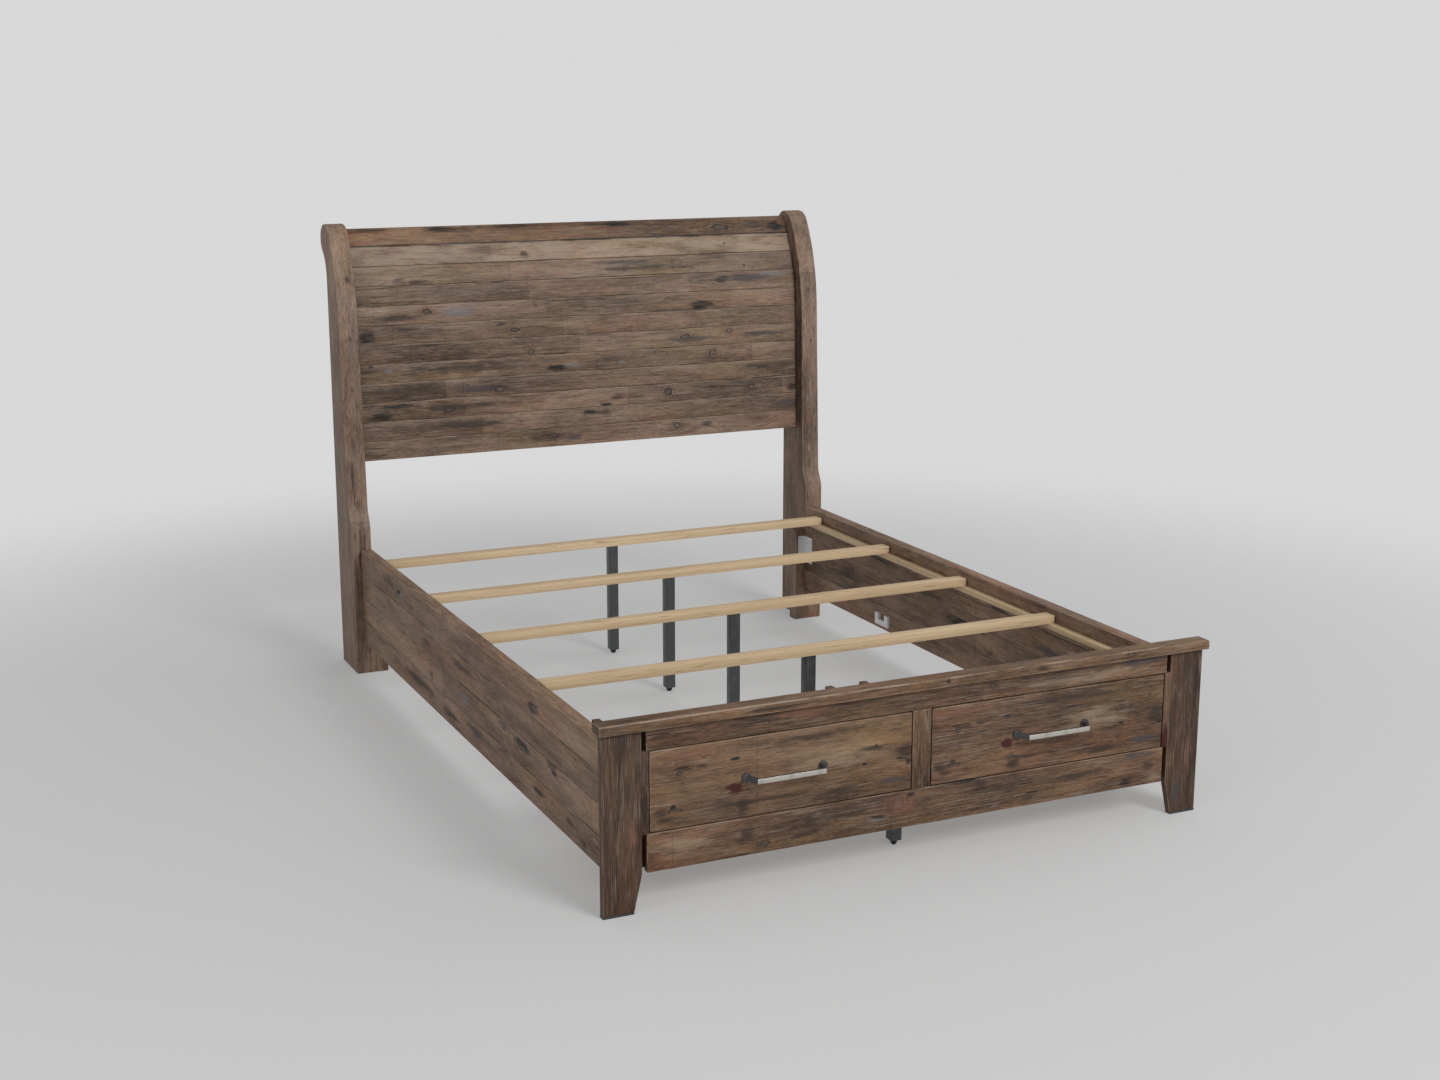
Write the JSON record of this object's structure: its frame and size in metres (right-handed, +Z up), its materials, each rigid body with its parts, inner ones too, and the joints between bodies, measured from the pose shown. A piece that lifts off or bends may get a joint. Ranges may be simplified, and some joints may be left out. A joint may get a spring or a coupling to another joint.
{
  "type": "queen-size storage bed frame",
  "caption": "Wooden storage bed frame with a sleigh headboard, planked side rails, slats on steel centre legs, and two drawers in the footboard.",
  "frame": {"origin": "on the floor, under the middle of the whole frame's bounding box", "axes": "+X across the bed to the right of someone facing the headboard from the foot, +Y from the foot towards the headboard, +Z up"},
  "size_m": [1.666, 2.375, 1.41],
  "materials": {
    "stained_wood": "weathered brown stain, rough-sawn face, knots and dark smudges",
    "drawer_wood": "weathered red-brown stain, wide boards",
    "pine": "bare sanded softwood",
    "black_steel": "dark powder coat on square tube",
    "black_plastic": "matt moulded",
    "zinc_steel": "dull zinc plate",
    "pewter": "worn nickel on dark iron"
  },
  "bodies": {
    "frame": {"back_rail_hanger_left": "zinc_steel", "back_rail_hanger_right": "zinc_steel", "centre_leg_1": "black_steel", "centre_leg_2": "black_steel", "centre_leg_3": "black_steel", "centre_leg_4": "black_steel", "centre_leg_5": "black_steel", "drawer_back_rail": "pine", "drawer_runner_left_inner": "pine", "drawer_runner_left_outer": "pine", "drawer_runner_right_inner": "pine", "drawer_runner_right_outer": "pine", "foot_bracket_left": "zinc_steel", "foot_bracket_right": "zinc_steel", "foot_glide_left": "black_plastic", "foot_glide_right": "black_plastic", "foot_leg_left": "stained_wood", "foot_leg_right": "stained_wood", "footboard_apron": "stained_wood", "footboard_cap": "stained_wood", "footboard_mullion": "stained_wood", "footboard_stile_left": "stained_wood", "footboard_stile_right": "stained_wood", "footboard_top_rail": "stained_wood", "head_bracket_left": "zinc_steel", "head_bracket_right": "zinc_steel", "headboard_block_left": "stained_wood", "headboard_block_right": "stained_wood", "headboard_panel": "stained_wood", "headboard_post_left": "stained_wood", "headboard_post_right": "stained_wood", "headboard_top_rail": "stained_wood", "side_rail_left": "stained_wood", "side_rail_right": "stained_wood", "slat_1": "pine", "slat_2": "pine", "slat_3": "pine", "slat_4": "pine", "slat_5": "pine", "slat_cleat_left": "pine", "slat_cleat_right": "pine", "spare_hanger_left": "zinc_steel", "spare_hanger_right": "zinc_steel"},
    "drawer_left": {"drawer_left_back": "drawer_wood", "drawer_left_floor": "pine", "drawer_left_front": "drawer_wood", "drawer_left_pull": "pewter", "drawer_left_wall_left": "drawer_wood", "drawer_left_wall_right": "drawer_wood"},
    "drawer_right": {"drawer_right_back": "drawer_wood", "drawer_right_floor": "pine", "drawer_right_front": "drawer_wood", "drawer_right_pull": "pewter", "drawer_right_wall_left": "drawer_wood", "drawer_right_wall_right": "drawer_wood"},
    "leveller_1": {"leveller_1": "black_plastic"},
    "leveller_2": {"leveller_2": "black_plastic"},
    "leveller_3": {"leveller_3": "black_plastic"},
    "leveller_4": {"leveller_4": "black_plastic"},
    "leveller_5": {"leveller_5": "black_plastic"}
  },
  "joints": [
    {"name": "drawer_left_slide", "type": "slide", "parent": "frame", "child": "drawer_left", "axis": [0, -1, 0], "range_m": [0, 0.26]},
    {"name": "drawer_right_slide", "type": "slide", "parent": "frame", "child": "drawer_right", "axis": [0, -1, 0], "range_m": [0, 0.26]},
    {"name": "leveller_1_spin", "type": "hinge", "parent": "frame", "child": "leveller_1", "pos_m": [0, -1.0225, 0.006], "axis": [0, 0, 1], "continuous": true},
    {"name": "leveller_2_spin", "type": "hinge", "parent": "frame", "child": "leveller_2", "pos_m": [0, -0.5575, 0.006], "axis": [0, 0, 1], "continuous": true},
    {"name": "leveller_3_spin", "type": "hinge", "parent": "frame", "child": "leveller_3", "pos_m": [0, -0.0925, 0.006], "axis": [0, 0, 1], "continuous": true},
    {"name": "leveller_4_spin", "type": "hinge", "parent": "frame", "child": "leveller_4", "pos_m": [0, 0.3725, 0.006], "axis": [0, 0, 1], "continuous": true},
    {"name": "leveller_5_spin", "type": "hinge", "parent": "frame", "child": "leveller_5", "pos_m": [0, 0.8375, 0.006], "axis": [0, 0, 1], "continuous": true}
  ]
}
